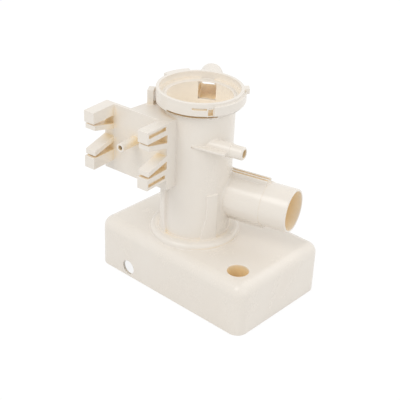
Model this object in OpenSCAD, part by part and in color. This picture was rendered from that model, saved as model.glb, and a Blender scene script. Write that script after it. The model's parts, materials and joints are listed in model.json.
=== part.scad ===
// Washer drain pump: a tall pump chamber on a motor cover, with its motor and impeller inside.
// Millimetres, +Z up. The origin is where the chamber's axis meets the plane that the cover stands on.

/* [Motor cover] */
// Distance from the chamber's axis to the left end of the cover
cover_left = 58; // [57:0.5:70]
// Distance from the chamber's axis to the right end of the cover
cover_right = 75; // [72:0.5:95]
// Distance from the chamber's axis to the front of the cover
cover_front = 37; // [36:0.5:50]
// Distance from the chamber's axis to the back of the cover
cover_back = 49; // [38:0.5:65]
// Height of the cover
cover_h = 38; // [37:0.5:50]
// Wall of the cover
cover_wall = 2.5; // [1.5:0.1:3.5]
// Radius of the cover's corners and top edges
cover_round = 8; // [5:0.5:12]
// Diameter of the cable hole in the front wall
cable_hole_d = 10.5; // [6:0.5:13]
// Height of the cable hole's centre above the base plane
cable_hole_z = 7; // [7:0.5:9]
// Distance of the cable hole from the chamber's axis, to the left
cable_hole_left = 29; // [20:0.5:42]
// Diameter of the bolt well in the top of the cover
well_d = 14.5; // [10:0.5:17]
// Distance of the bolt well from the cover's right end
well_right = 17.5; // [14:0.5:20]
// Distance of the bolt well from the cover's front
well_front = 17; // [14:0.5:20]
// Diameter of the bolt hole at the bottom of the well
bolt_d = 6.5; // [4:0.1:9]
// Thickness of the floor and the wall of the bolt well
well_wall = 2.5; // [1.5:0.1:4]

/* [Pump chamber] */
// Outer diameter of the chamber tube
tube_d = 48; // [47.5:0.1:52]
// Wall of the chamber tube around the impeller
tube_wall = 2.5; // [2.2:0.1:3]
// How much wider, on the radius, the filter seat is than the impeller bore
seat_step = 0.5; // [0.2:0.1:1]
// Length of the tube above the cover
tube_len = 102; // [98:0.5:130]
// Height above the cover at which the filter seat begins
volute_h = 50; // [48:0.5:58]
// How far the foot ring stands out from the tube
foot_out = 4.4; // [4.2:0.1:6]
// Height of the foot ring
foot_h = 4.5; // [4:0.1:7]
// How far the front pad stands out from the tube
pad_out = 1.2; // [0.6:0.1:2]
// Width of the front pad
pad_w = 8.4; // [5:0.1:12]
// How far the rib under the bracket stands out from the tube
rib_out = 2.2; // [1:0.1:3.5]
// Width of the rib under the bracket
rib_w = 6.5; // [4:0.1:9]

/* [Collar] */
// How far the collar stands out from the tube
collar_out = 5.1; // [4:0.1:6]
// Wall of the collar around the mouth
collar_wall = 2.2; // [1.5:0.1:3]
// Height of the collar's rim above the seat ledge
rim_h = 5.3; // [3:0.1:8]
// Depth of the collar below the seat ledge
collar_drop = 5; // [3.5:0.1:7]
// How far the thick side of the collar stands out
band_out = 1.5; // [0.8:0.1:2.2]
// Angle that the thick side covers
band_sweep = 95; // [60:1:130]
// Height of the bayonet slot above the collar's taper
slot_h = 1.4; // [0.8:0.1:2]
// Depth of the bayonet slot
slot_deep = 3.4; // [1.5:0.1:4]
// Angle that the bayonet slot covers
slot_sweep = 72; // [40:1:100]
// How far the stop lugs stand out from the collar
lug_out = 3.2; // [1.5:0.1:5]
// Height of the stop lugs
lug_h = 3.8; // [2:0.1:5]

/* [Outlet] */
// Outer diameter of the outlet where it leaves the tube
outlet_root_d = 31; // [30.6:0.1:34]
// Outer diameter of the outlet's hose end
outlet_hose_d = 30.4; // [28:0.1:30.5]
// Bore of the outlet
outlet_bore = 27.4; // [22:0.1:27.6]
// How much narrower the port through the tube wall is than the outlet's bore
port_step = 1.4; // [0.6:0.1:3]
// Height of the outlet's axis above the cover
outlet_rise = 30.5; // [25:0.5:34]
// Distance of the outlet's mouth from the chamber's axis
outlet_reach = 70; // [62:0.5:95]
// Length of the outlet's hose end
outlet_hose_len = 19.5; // [12:0.5:25]
// Direction of the outlet, turned from the cover's long side
outlet_turn = 14; // [5:1:25]
// Height of the rails on the outlet
rail_h = 2.7; // [2:0.1:4]
// Width over the rails
rail_w = 7.4; // [6:0.1:10]

/* [Inlet] */
// Outer diameter of the inlet
inlet_d = 17; // [16.8:0.1:19]
// Width of the inlet's waterway
inlet_way_w = 12.4; // [9:0.1:12.8]
// Height of the inlet's waterway
inlet_way_h = 12.6; // [9:0.1:13]
// Thickness of the inlet over its waterway
inlet_roof = 1.3; // [1.1:0.1:2]
// How much the inlet's root stands out over its hose end
inlet_step = 0.3; // [0.2:0.1:0.8]
// Length of the inlet's hose end
inlet_hose_len = 17; // [12:0.5:17.5]
// Distance of the inlet's end from the chamber's axis
inlet_reach = 54; // [42:0.5:65]
// Direction of the inlet, turned from the cover's long side
inlet_turn = 126; // [110:0.5:140]
// How far the inlet's axis passes to the right of the chamber's axis
inlet_offset = 2.6; // [0:0.1:5]
// Slant of the inlet's end, shorter below
inlet_slant = 18; // [0:1:30]
// Thickness of the tube wall left between the inlet's waterway and the seat ledge
inlet_cover = 0.5; // [0.4:0.1:2]

/* [Pressure nipple] */
// Outer diameter of the nipple
nipple_d = 9; // [7:0.1:10]
// Bore of the nipple
nipple_bore = 5.6; // [3:0.1:6]
// Height of the nipple's axis above the cover
nipple_rise = 74.6; // [70:0.1:80]
// Distance of the nipple's tip from the chamber's axis, along the nipple
nipple_reach = 41; // [38:0.5:55]
// How far the nipple's side stands in from the side of the tube
nipple_inset = 6; // [4:0.1:8]
// Thickness of the fin that joins the nipple to the tube
fin_t = 1.4; // [1:0.1:2.5]

/* [Clip bracket] */
// Turn of the bracket from the cover's long side
bracket_turn = 5.5; // [0:0.5:8]
// Width of the bracket plate
plate_w = 54; // [46:0.5:65]
// Height of the bracket plate
plate_h = 49; // [44:0.5:54]
// Thickness of the bracket plate, its side wall and its shelves
plate_t = 2.3; // [1.5:0.1:3.5]
// Gap between the tube and the front face of the plate
plate_stand = 9; // [6:0.5:14]
// Height of the plate's top edge above the cover
plate_top_rise = 92; // [86:0.5:95]
// Width of each clip finger
finger_w = 8.4; // [6:0.1:11]
// Length of each clip finger
finger_len = 20.3; // [12:0.1:26]
// Height of the stiff prong of a finger
prong_h = 8.3; // [6:0.1:9]
// Thickness of the springy prong of a finger
spring_t = 4; // [2.5:0.1:4.5]
// Height of a finger pair's slot at its root
slot_root = 6; // [4:0.1:7]
// Height of a finger pair's slot at its tip
slot_tip = 1.2; // [0.6:0.1:2]
// Height over both finger pairs
fingers_span = 41.3; // [40:0.1:43.5]
// Outer diameter of the screw boss
boss_d = 6.2; // [5.5:0.1:9]
// Hole in the screw boss
boss_hole_d = 3.4; // [2:0.1:4]
// Length of the screw boss
boss_len = 15.6; // [8:0.1:20]

/* [Motor] */
// Inner diameter of the rotor can
can_bore = 28; // [27.4:0.1:30]
// Wall of the rotor can
can_wall = 1; // [0.8:0.1:1.3]
// Depth of the rotor can below the cover's top plate
can_depth = 32.5; // [31.5:0.5:33.5]
// Thickness of the rotor can's flange
can_flange_t = 3; // [2:0.1:3.5]
// Height of the laminated core
core_h = 14; // [10:0.5:15]
// Width of a leg of the core
leg_w = 13; // [9:0.5:14]
// Distance between the legs of the core
leg_gap = 22; // [18:0.5:24]
// Width of the core's yoke
yoke_w = 12; // [9:0.5:13]
// Wall of a coil bobbin
bobbin_wall = 1; // [0.8:0.1:1.4]
// Depth of the winding on a bobbin
coil_build = 4; // [2.5:0.1:4.2]
// Distance of the core's screws from its middle plane
core_screw_side = 19; // [14:0.5:21]
// Thread diameter of the screws
screw_d = 3; // [2.5:0.1:3.5]
// Width of the terminal blades
blade_w = 6.3; // [2.8:0.1:6.5]

/* [Rotor and impeller] */
// Diameter of the rotor shaft
shaft_d = 4; // [3:0.1:5]
// Diameter of the rotor magnet
magnet_d = 26; // [22:0.1:26.6]
// Length of the rotor magnet
magnet_len = 19; // [14:0.5:19.5]
// Outer diameter of the two bearings
bearing_d = 9; // [8:0.1:10]
// Length of each bearing
bearing_len = 4.5; // [3.5:0.1:4.8]
// Diameter of the impeller
impeller_d = 37; // [26:0.5:39]
// Height of the impeller's blades
blade_h = 21; // [12:0.5:22]
// Thickness of an impeller blade
blade_t = 1.8; // [1.2:0.1:2.5]
// Number of impeller blades
blade_count = 6; // [4:1:8]

/* [Clearances] */
// Radial gap of a shaft in its bearing
run_gap = 0.05; // [0.02:0.01:0.09]
// Gap between pieces that are pushed together
seat_gap = 0.05; // [0.03:0.01:0.1]
// Gap between pieces that slip past each other
slip_gap = 0.3; // [0.2:0.05:0.5]
// Gap between the impeller and what is under it
under_gap = 1.5; // [1:0.1:2.5]

/* [Hidden] */
$fn = 96;
eps = 0.5;
tube_r = tube_d / 2;
bore_r = tube_r - tube_wall;
seat_r = bore_r + seat_step;
ledge_z = cover_h + tube_len;
rim_z = ledge_z + rim_h;
volute_top = cover_h + volute_h;
deck_z = cover_h - cover_wall;
fit_r = tube_r + seat_gap;

// Cover: the bolt well, and the ring that the chamber's foot stands in
well_x = cover_right - well_right;
well_y = well_front - cover_front;
foot_r = tube_r + foot_out;
foot_round = 0.3;
weld_gap = 0.2;
ring_r0 = foot_r + weld_gap;
ring_w = 2.8;
ring_drop = 0.3;
ring_h = foot_h - ring_drop;

// Collar
collar_r = tube_r + collar_out;
collar_taper = 2.7;
collar_low = ledge_z - collar_drop;
mouth_r = collar_r - collar_wall;
band_turn = -30;
band_drop = 2;
band_top = rim_z - band_drop;
slot_turn = -96;
tab_turn = -58;
tab_sweep = 19;
tab_rise = 0.8;
tab_z = ledge_z + tab_rise;
tab_h = 1.2;
tab_deep = 1.2;
gap_turn = -37.5;
gap_sweep = 6.5;
gap_h = 5;
lug_turn = 45;
lug_w = 5.5;
wing_turn = 146;
wing_sweep = 36;

// Outlet, inlet and nipple axes
outlet_z = cover_h + outlet_rise;
outlet_side = tube_r - outlet_root_d / 2;
rail_end = outlet_reach - outlet_hose_len;
port_d = outlet_bore - port_step;
port_len = 3;
port_end = tube_r + port_len;
rail_t = 1.4;
rail_web = 0.9;
lip_round = 0.7;
way_top = ledge_z - inlet_cover;
inlet_z = way_top + inlet_roof - inlet_d / 2;
way_low = way_top - inlet_way_h;
way_roof_round = 4.5;
way_floor_round = 1.5;
inlet_side = -inlet_offset;
inlet_root_r = inlet_d / 2 + inlet_step;
inlet_root_end = inlet_reach - inlet_hose_len;
nipple_z = cover_h + nipple_rise;
nipple_side = nipple_inset + nipple_d / 2 - tube_r;
nipple_boss_step = 0.8;
nipple_boss_d = nipple_d + nipple_boss_step;
nipple_hose_len = 9;
nipple_boss_end = nipple_reach - nipple_hose_len;
nipple_chamfer = 0.8;
fin_short = 10;
fin_end = nipple_reach - fin_short;

// Bracket, in its own turned frame
plate_top = cover_h + plate_top_rise;
plate_bottom = plate_top - plate_h;
plate_front = -tube_r - plate_stand;
plate_inset = 0.2;
plate_right = -plate_inset;
plate_left = plate_right - plate_w;
finger_mid = plate_top - fingers_span / 2;
prong_in = fingers_span / 2 - prong_h;
spring_drop = slot_root - slot_tip;
spring_short = 1.2;
pocket_h = 2.6;
pocket_deep = 2.4;
pocket_inset = 1.6;
boss_x = plate_right - plate_w / 2;
boss_back = 2.6;
boss_deep = boss_len - boss_back;
shelf_inset = 20.8;
shelf_left = plate_left + shelf_inset;
post_turn = 213;
post_stand = 1.2;
post_r = collar_r + post_stand;
post_t = 4.4;
post_w = 7;
post_h = 10.5;

// Motor levels, measured down from the cover's top plate
can_r = can_bore / 2 + can_wall;
can_bottom = deck_z - can_depth;
can_floor_t = 1.5;
can_floor = can_bottom + can_floor_t;
flange_z = deck_z - can_flange_t;
flange_out = 1.6;
flange_r = foot_r + flange_out;
opening_step = 1;
opening_r = bore_r - opening_step;
spigot_r = opening_r - slip_gap;
spigot_wall = 1.5;
spigot_in_r = spigot_r - spigot_wall;
spigot_rise = 2;
spigot_top = cover_h + spigot_rise;
seal_r = (spigot_r + bore_r) / 2;
seal_t = (bore_r - spigot_r) / 2 - seat_gap;
screw_r = screw_d / 2;
screw_ring_out = 0.2;
screw_ring_r = (bore_r + foot_r) / 2 + screw_ring_out;
screw_cover = 0.7;
screw_end = cover_h + foot_h - screw_cover;
screw_head_r = screw_d * 0.95;
screw_head_h = 2.4;

// Bearings, from the can's floor up
shaft_r = shaft_d / 2;
bearing_r = bearing_d / 2;
pocket_r = bearing_r + seat_gap;
pocket_wall = 1.8;
low_top = can_floor + bearing_len;
washer_t = 0.8;
washer_wall = 2.6;
washer_r = shaft_r + washer_wall;
axial_gap = 0.2;
magnet_z = low_top + washer_t + 2 * axial_gap;
magnet_top = magnet_z + magnet_len;
sleeve_wall = 3;
sleeve_r = shaft_r + sleeve_wall;
cap_low = magnet_top + washer_t + 2 * axial_gap;
cap_floor = 0.8;
bearing_z = cap_low + cap_floor;
cap_disc_t = 3;
cap_rise = 4.5;
cap_top = deck_z + cap_rise;
cap_boss_wall = 2.5;
cap_boss_r = pocket_r + cap_boss_wall;
cap_disc_r = spigot_in_r - seat_gap;
neck_gap = 0.6;
neck_r = shaft_r + neck_gap;
seal_gap = 0.2;
seal_z = bearing_z + bearing_len + seal_gap;
lip_out = 0.4;
lip_r = bearing_r + lip_out;
lip_drop = 0.5;
lip_top = cap_top - lip_drop;

// Core and coils; the legs run to the left of the rotor
core_z = magnet_z + magnet_len / 2 - core_h / 2;
core_out = 1;
core_right = can_r + core_out;
core_side_gap = 3.5;
core_left = cover_wall + core_side_gap - cover_left;
yoke_right = core_left + yoke_w;
leg_in = leg_gap / 2;
leg_out = leg_in + leg_w;
core_bore = can_r + slip_gap;
spool_left = yoke_right + slip_gap;
spool_gap = 2.5;
spool_right = -can_r - spool_gap;
spool_rim = 1;
rim_over = 0.5;
rim_build = coil_build + rim_over;
core_screw_x = core_left + yoke_w / 2;
core_boss_r = screw_d * 1.5;
core_screw_gap = 0.3;
core_screw_cover = 1;
core_screw_end = deck_z - core_screw_cover;
block_w = 2 * (leg_in - slip_gap - bobbin_wall - rim_build - seat_gap);
block_drop = 3;
block_z = core_z - block_drop;
block_short = 4;
block_h = core_h - block_short;
tail_t = 0.8;
tail_len = 7;
tail_gap = 11;

// Impeller, its driving dog and the clip that keeps it on the shaft
hub_z = cap_top + under_gap;
dog_h = 5;
dog_gap = 0.5;
dog_r = 6.4;
dog_t = 3;
dog_wall = 1.5;
cave_r = dog_r + dog_gap;
cave_top = hub_z + dog_h + 2 * dog_gap;
hub_wall = 1.8;
hub_r = cave_r + hub_wall;
hub_roof = 1.6;
key_wall = 2;
key_in = shaft_r + key_wall;
back_t = 1.5;
blade_inset = 0.4;
neck_wall = 3;
neck_out = shaft_r + neck_wall;
blade_top = hub_z + back_t + blade_h;
clip_gap = 0.1;
clip_z = blade_top + axial_gap + clip_gap;
clip_t = 1;
clip_wall = 2.2;
clip_r = shaft_r + clip_wall;
shaft_end_gap = 0.3;
shaft_low = can_floor + shaft_end_gap;
shaft_tip = 1.5;
shaft_top = clip_z + clip_t + shaft_tip;

cream = "antiquewhite";
dark = "dimgray";
steel = "lightsteelblue";
rubber = "darkslategray";

// Shared shapes

// A box with round upright corners and round top edges, open to any depth below
module round_top_box(low, high, base, top, r) {
    size = high - low;
    translate([low.x + r, low.y, base]) cube([size.x - 2 * r, size.y, top - r - base]);
    translate([low.x, low.y + r, base]) cube([size.x, size.y - 2 * r, top - r - base]);
    translate([low.x + r, low.y + r, base]) cube([size.x - 2 * r, size.y - 2 * r, top - base]);
    for (x = [low.x + r, high.x - r]) {
        translate([x, low.y + r, top - r]) rotate([-90, 0, 0]) cylinder(r = r, h = size.y - 2 * r);
        for (y = [low.y + r, high.y - r]) {
            translate([x, y, base]) cylinder(r = r, h = top - r - base);
            translate([x, y, top - r]) sphere(r = r);
        }
    }
    for (y = [low.y + r, high.y - r]) {
        translate([low.x + r, y, top - r]) rotate([0, 90, 0]) cylinder(r = r, h = size.x - 2 * r);
    }
}

// A straight ring about the Z axis
module ring(r_in, r_out, z0, z1) {
    difference() {
        translate([0, 0, z0]) cylinder(r = r_out, h = z1 - z0);
        translate([0, 0, z0 - eps]) cylinder(r = r_in, h = z1 - z0 + 2 * eps);
    }
}

// Turns the child's Z axis to run level, at an angle, to one side of the chamber's axis
module level(turn, side, z) {
    rotate([0, 0, turn]) translate([0, side, z]) rotate([0, 90, 0]) children();
}

// A level cylinder between two distances from the chamber's axis
module level_rod(turn, side, z, r, from, to) {
    level(turn, side, z) translate([0, 0, from]) cylinder(r = r, h = to - from);
}

// A level bar between two heights and two distances from the chamber's axis
module level_bar(turn, side, wide, low, high, from, to) {
    rotate([0, 0, turn]) translate([from, side - wide / 2, low]) cube([to - from, wide, high - low]);
}

// The room that the tube takes, which whatever is moulded to its side stops at
module tube_room() {
    cylinder(r = fit_r, h = ledge_z);
}

// Sweeps a flat shape about the Z axis, from an angle over a sweep
module arc(turn, sweep) {
    rotate([0, 0, turn]) rotate_extrude(angle = sweep) children();
}

// Part of a ring about the Z axis, from an angle over a sweep
module arc_band(r_in, r_out, z0, z1, turn, sweep) {
    arc(turn, sweep) translate([r_in, z0]) square([r_out - r_in, z1 - z0]);
}

// A round-headed screw that points up, with its head under the level z0
module screw_up(x, y, z0, z1) {
    translate([x, y, z0 - screw_head_h]) cylinder(r = screw_head_r, h = screw_head_h);
    translate([x, y, z0 - screw_head_h / 2]) cylinder(r = screw_r, h = z1 - z0 + screw_head_h / 2);
}

module at_can_screws() {
    for (turn = [0:90:270]) {
        rotate([0, 0, turn]) translate([screw_ring_r, 0, 0]) children();
    }
}

module at_core_screws() {
    for (side = [-1, 1]) {
        translate([core_screw_x, side * core_screw_side, 0]) children();
    }
}

// Casing

module cover_shell() {
    in = [cover_wall, cover_wall];
    low = [-cover_left, -cover_front];
    high = [cover_right, cover_back];
    difference() {
        round_top_box(low, high, 0, cover_h, cover_round);
        round_top_box(low + in, high - in, -eps, deck_z, cover_round - cover_wall);
    }
}

// The rounded ring that the chamber's foot stands in
module foot_ring() {
    difference() {
        union() {
            translate([0, 0, deck_z + cover_wall / 2])
                cylinder(r = ring_r0 + ring_w, h = cover_wall / 2 + ring_h - ring_w);
            translate([0, 0, cover_h + ring_h - ring_w]) rotate_extrude()
                translate([ring_r0, 0]) circle(r = ring_w);
        }
        translate([0, 0, cover_h]) cylinder(r = ring_r0, h = ring_h + eps);
    }
}

module motor_cover() {
    well_r = well_d / 2;
    color(cream) difference() {
        union() {
            cover_shell();
            foot_ring();
            translate([well_x, well_y, 0]) cylinder(r = well_r + well_wall, h = deck_z + cover_wall / 2);
            at_core_screws() translate([0, 0, core_z + core_h])
                cylinder(r = core_boss_r, h = cover_h - cover_wall / 2 - core_z - core_h);
        }
        translate([0, 0, deck_z - eps]) cylinder(r = opening_r, h = cover_wall + 2 * eps);
        at_can_screws() translate([0, 0, deck_z - eps])
            cylinder(r = screw_r + core_screw_gap, h = cover_wall + 2 * eps);
        translate([well_x, well_y, well_wall]) cylinder(r = well_r, h = cover_h);
        translate([well_x, well_y, -eps]) cylinder(d = bolt_d, h = cover_h);
        translate([-cable_hole_left, -cover_front - eps, cable_hole_z]) rotate([-90, 0, 0])
            cylinder(d = cable_hole_d, h = cover_wall + 2 * eps);
        at_core_screws() translate([0, 0, core_z]) cylinder(r = screw_r, h = core_screw_end - core_z);
    }
}

// A raised area on the side of the tube, drawn flat and wrapped to the tube
module side_pad(turn, out, outline) {
    intersection() {
        ring(bore_r + tube_wall / 2, tube_r + out, cover_h, ledge_z);
        rotate([0, 0, turn]) rotate([90, 0, 90]) linear_extrude(height = foot_r) polygon(outline);
    }
}

module pump_chamber() {
    pad_low = cover_h + foot_h / 2;
    pad_h = 38.5;
    pad_flare_h = 24;
    rib_flare_h = 14;
    pad_top = cover_h + pad_h;
    flare_top = cover_h + pad_flare_h;
    rib_flare = cover_h + rib_flare_h;
    color(cream) difference() {
        union() {
            translate([0, 0, cover_h]) cylinder(r = tube_r, h = tube_len);
            translate([0, 0, cover_h]) cylinder(r = foot_r, h = foot_h - foot_round);
            translate([0, 0, cover_h]) cylinder(r = foot_r - foot_round, h = foot_h);
            translate([0, 0, cover_h + foot_h - foot_round]) rotate_extrude()
                translate([foot_r - foot_round, 0]) circle(r = foot_round);
            side_pad(-21, pad_out, [
                [-pad_w / 2, pad_top], [-pad_w / 2, flare_top], [-pad_w, pad_low],
                [pad_w / 2, pad_low], [pad_w / 2, pad_top]
            ]);
            side_pad(-110, rib_out, [
                [-rib_w / 2, plate_bottom], [-rib_w / 2, rib_flare], [-rib_w, pad_low],
                [rib_w * 0.7, pad_low], [rib_w / 2, rib_flare], [rib_w / 2, plate_bottom]
            ]);
        }
        translate([0, 0, cover_h - eps]) cylinder(r = bore_r, h = tube_len + 2 * eps);
        translate([0, 0, volute_top]) cylinder(r = seat_r, h = ledge_z - volute_top + eps);
        level_rod(outlet_turn, outlet_side, outlet_z, port_d / 2, 0, tube_d);
        level_bar(inlet_turn, inlet_side, inlet_way_w, way_low, way_top, 0, tube_d);
        level_rod(outlet_turn, nipple_side, nipple_z, nipple_bore / 2, 0, tube_d);
        at_can_screws() translate([0, 0, cover_h - eps]) cylinder(r = screw_r, h = screw_end - cover_h + eps);
    }
}

module bayonet_collar() {
    band_r = collar_r + band_out;
    root_r = collar_r - collar_wall / 2;
    color(cream) difference() {
        union() {
            rotate_extrude() polygon([
                [fit_r, collar_low - collar_taper], [collar_r - 1, collar_low], [collar_r, collar_low + 0.5],
                [collar_r, rim_z], [mouth_r, rim_z], [mouth_r, ledge_z], [fit_r, ledge_z]
            ]);
            arc(band_turn, band_sweep) polygon([
                [root_r, collar_low], [band_r - 2, collar_low + 0.4], [band_r, collar_low + 2.2],
                [band_r, band_top], [root_r, band_top]
            ]);
            arc_band(root_r, collar_r + lug_out, rim_z - lug_h, rim_z, wing_turn, wing_sweep);
            rotate([0, 0, lug_turn]) translate([root_r, -lug_w / 2, rim_z - lug_h])
                cube([lug_out + collar_wall / 2, lug_w, lug_h]);
        }
        level_rod(inlet_turn, inlet_side, inlet_z, inlet_root_r + seat_gap, 0, inlet_reach);
        arc_band(collar_r - slot_deep, band_r + 1, collar_low, collar_low + slot_h, slot_turn, slot_sweep);
        arc_band(collar_r - tab_deep, band_r + 1, tab_z, tab_z + tab_h, tab_turn, tab_sweep);
        arc_band(collar_r - 2 * tab_deep, band_r + 1, tab_z + tab_h - gap_h, tab_z + tab_h, gap_turn, gap_sweep);
    }
}

module outlet_spigot() {
    root_r = outlet_root_d / 2;
    hose_r = outlet_hose_d / 2;
    color(cream) difference() {
        union() {
            level_rod(outlet_turn, outlet_side, outlet_z, root_r, 0, rail_end);
            level_rod(outlet_turn, outlet_side, outlet_z, hose_r, 0, outlet_reach - lip_round);
            level_rod(outlet_turn, outlet_side, outlet_z, hose_r - lip_round, 0, outlet_reach);
            level(outlet_turn, outlet_side, outlet_z) translate([0, 0, outlet_reach - lip_round])
                rotate_extrude() translate([hose_r - lip_round, 0]) circle(r = lip_round);
            rotate([0, 0, outlet_turn]) {
                translate([0, outlet_side - rail_w / 2, outlet_z + outlet_bore / 2 + eps])
                    cube([rail_end, rail_w, root_r - outlet_bore / 2 - eps + rail_web]);
                for (i = [0:2]) {
                    translate([0, outlet_side - rail_w / 2 + i * (rail_w - rail_t) / 2, outlet_z + root_r - eps])
                        cube([rail_end, rail_t, rail_h + eps]);
                }
                translate([0, outlet_side - rail_w / 2, outlet_z - root_r - rail_h])
                    cube([rail_end, rail_w, root_r - outlet_bore / 2 - eps + rail_h]);
            }
        }
        tube_room();
        level_rod(outlet_turn, outlet_side, outlet_z, port_d / 2, -eps, outlet_reach + eps);
        level_rod(outlet_turn, outlet_side, outlet_z, outlet_bore / 2, port_end, outlet_reach + eps);
    }
}

// The inlet's waterway, flat below, with its corners rounded to leave a wall in the round spigot
module inlet_waterway() {
    long = inlet_reach + eps;
    roof_w = inlet_way_w - 2 * way_roof_round;
    floor_w = inlet_way_w - 2 * way_floor_round;
    roof_z = way_top - way_roof_round;
    floor_z = way_low + way_floor_round;
    level_bar(inlet_turn, inlet_side, roof_w, way_low, way_top, -eps, long);
    level_bar(inlet_turn, inlet_side, floor_w, way_low, roof_z, -eps, long);
    level_bar(inlet_turn, inlet_side, inlet_way_w, floor_z, roof_z, -eps, long);
    for (i = [-1, 1]) {
        level_rod(inlet_turn, inlet_side + i * roof_w / 2, roof_z, way_roof_round, -eps, long);
        level_rod(inlet_turn, inlet_side + i * floor_w / 2, floor_z, way_floor_round, -eps, long);
    }
}

module inlet_spigot() {
    color(cream) difference() {
        union() {
            level_rod(inlet_turn, inlet_side, inlet_z, inlet_d / 2, 0, inlet_reach);
            level_rod(inlet_turn, inlet_side, inlet_z, inlet_root_r, 0, inlet_root_end);
        }
        tube_room();
        inlet_waterway();
        translate([0, 0, ledge_z]) cylinder(r = mouth_r, h = rim_h);
        level(inlet_turn, inlet_side, inlet_z) translate([-inlet_d / 2, -inlet_d, inlet_reach])
            rotate([0, inlet_slant, 0]) translate([-inlet_d, 0, 0]) cube([3 * inlet_d, 2 * inlet_d, inlet_d]);
    }
}

module pressure_nipple() {
    fin_side = -tube_r + 1;
    color(cream) difference() {
        union() {
            level_rod(outlet_turn, nipple_side, nipple_z, nipple_boss_d / 2, 0, nipple_boss_end);
            level_rod(outlet_turn, nipple_side, nipple_z, nipple_d / 2, 0, nipple_reach - nipple_chamfer);
            level(outlet_turn, nipple_side, nipple_z) translate([0, 0, nipple_reach - nipple_chamfer])
                cylinder(r1 = nipple_d / 2, r2 = nipple_d / 2 - nipple_chamfer, h = nipple_chamfer);
            rotate([0, 0, outlet_turn]) translate([0, fin_side, nipple_z - fin_t / 2])
                cube([fin_end, nipple_side - fin_side, fin_t]);
        }
        tube_room();
        level_rod(outlet_turn, nipple_side, nipple_z, nipple_bore / 2, -eps, nipple_reach + eps);
    }
}

// One forked finger of the upper pair, seen from the side, rooted in the plate and pointing forward
module finger_outline() {
    tip = plate_front - finger_len;
    root = plate_front + plate_t / 2;
    spring_root = prong_in - slot_root;
    polygon([[root, prong_in], [root, prong_in + prong_h], [tip, prong_in + prong_h], [tip, prong_in]]);
    polygon([
        [root, spring_root], [tip + spring_short, spring_root + spring_drop],
        [tip + spring_short, spring_root + spring_drop - spring_t + 0.4], [root, spring_root - spring_t]
    ]);
}

module finger_pair(left, pocket_x) {
    for (flip = [0, 1]) {
        translate([left, 0, finger_mid]) mirror([0, 0, flip]) difference() {
            rotate([90, 0, 90]) linear_extrude(height = finger_w) finger_outline();
            translate([pocket_x, plate_front - finger_len + pocket_inset, prong_in + (prong_h - pocket_h) * 0.65])
                cube([pocket_deep, finger_len - 2 * pocket_inset, pocket_h]);
        }
    }
}

// A level web that joins the plate to the tube
module shelf(z, outline) {
    translate([0, 0, z]) linear_extrude(height = plate_t) polygon(outline);
}

module clip_bracket() {
    back = plate_front + plate_t;
    side = plate_right - plate_t;
    color(cream) difference() {
        union() {
            rotate([0, 0, bracket_turn]) {
                translate([plate_left, plate_front, plate_bottom]) cube([plate_w, plate_t, plate_h]);
                translate([side, plate_front, plate_bottom]) cube([plate_t, -plate_front, plate_h]);
                shelf(plate_top - plate_t, [
                    [shelf_left, back - eps], [plate_right, back - eps], [plate_right, -tube_r / 2],
                    [-tube_r * 0.9, 0], [shelf_left + 2.6, -tube_r * 0.6]
                ]);
                shelf(plate_bottom, [
                    [shelf_left + 12, back - eps], [plate_right, back - eps], [plate_right, -tube_r / 2],
                    [-tube_r * 0.8, -tube_r / 2]
                ]);
                finger_pair(plate_left, -eps / 10);
                finger_pair(plate_right - finger_w, finger_w - pocket_deep + eps / 10);
                translate([boss_x, plate_front + plate_t / 2, finger_mid]) rotate([90, 0, 0])
                    cylinder(d = boss_d, h = boss_len + plate_t / 2);
            }
            rotate([0, 0, post_turn]) translate([post_r, -post_w / 2, plate_top - plate_t])
                cube([post_t, post_w, plate_t + post_h]);
        }
        tube_room();
        rotate([0, 0, bracket_turn]) translate([boss_x, plate_front - boss_len - eps, finger_mid])
            rotate([-90, 0, 0]) cylinder(d = boss_hole_d, h = boss_deep + eps);
    }
}

// Rotor can, seals and bearings

module rotor_can() {
    color(dark) difference() {
        union() {
            translate([0, 0, can_bottom]) cylinder(r = can_r, h = deck_z - can_bottom);
            translate([0, 0, flange_z]) cylinder(r = flange_r, h = can_flange_t);
            translate([0, 0, flange_z]) cylinder(r = spigot_r, h = spigot_top - flange_z);
        }
        difference() {
            translate([0, 0, can_floor]) cylinder(d = can_bore, h = spigot_top);
            translate([0, 0, can_floor - eps]) cylinder(r = pocket_r + pocket_wall, h = bearing_len + eps);
        }
        translate([0, 0, can_floor]) cylinder(r = pocket_r, h = bearing_len + eps);
        translate([0, 0, deck_z]) cylinder(r = spigot_in_r, h = spigot_top);
        at_can_screws() translate([0, 0, flange_z - eps])
            cylinder(r = screw_r + core_screw_gap, h = can_flange_t + 2 * eps);
    }
}

module can_seal() {
    color(rubber) translate([0, 0, cover_h + seal_t + seat_gap]) rotate_extrude()
        translate([seal_r, 0]) circle(r = seal_t);
}

module bearing_cap() {
    color("gainsboro") difference() {
        union() {
            translate([0, 0, deck_z]) cylinder(r = cap_disc_r, h = cap_disc_t);
            translate([0, 0, cap_low]) cylinder(r = cap_boss_r, h = cap_top - cap_low);
        }
        translate([0, 0, cap_low - eps]) cylinder(r = neck_r, h = cap_top);
        translate([0, 0, bearing_z]) cylinder(r = pocket_r, h = seal_z - bearing_z);
        translate([0, 0, seal_z]) cylinder(r = lip_r + seat_gap, h = cap_top);
    }
}

module bearing(z) {
    ring(shaft_r + run_gap, bearing_r, z, z + bearing_len);
}

module lower_bearing() {
    color("peru") bearing(can_floor);
}

module upper_bearing() {
    color("peru") bearing(bearing_z);
}

module shaft_seal() {
    color(rubber) ring(shaft_r + run_gap, lip_r, seal_z, lip_top);
}

// Stator

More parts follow.
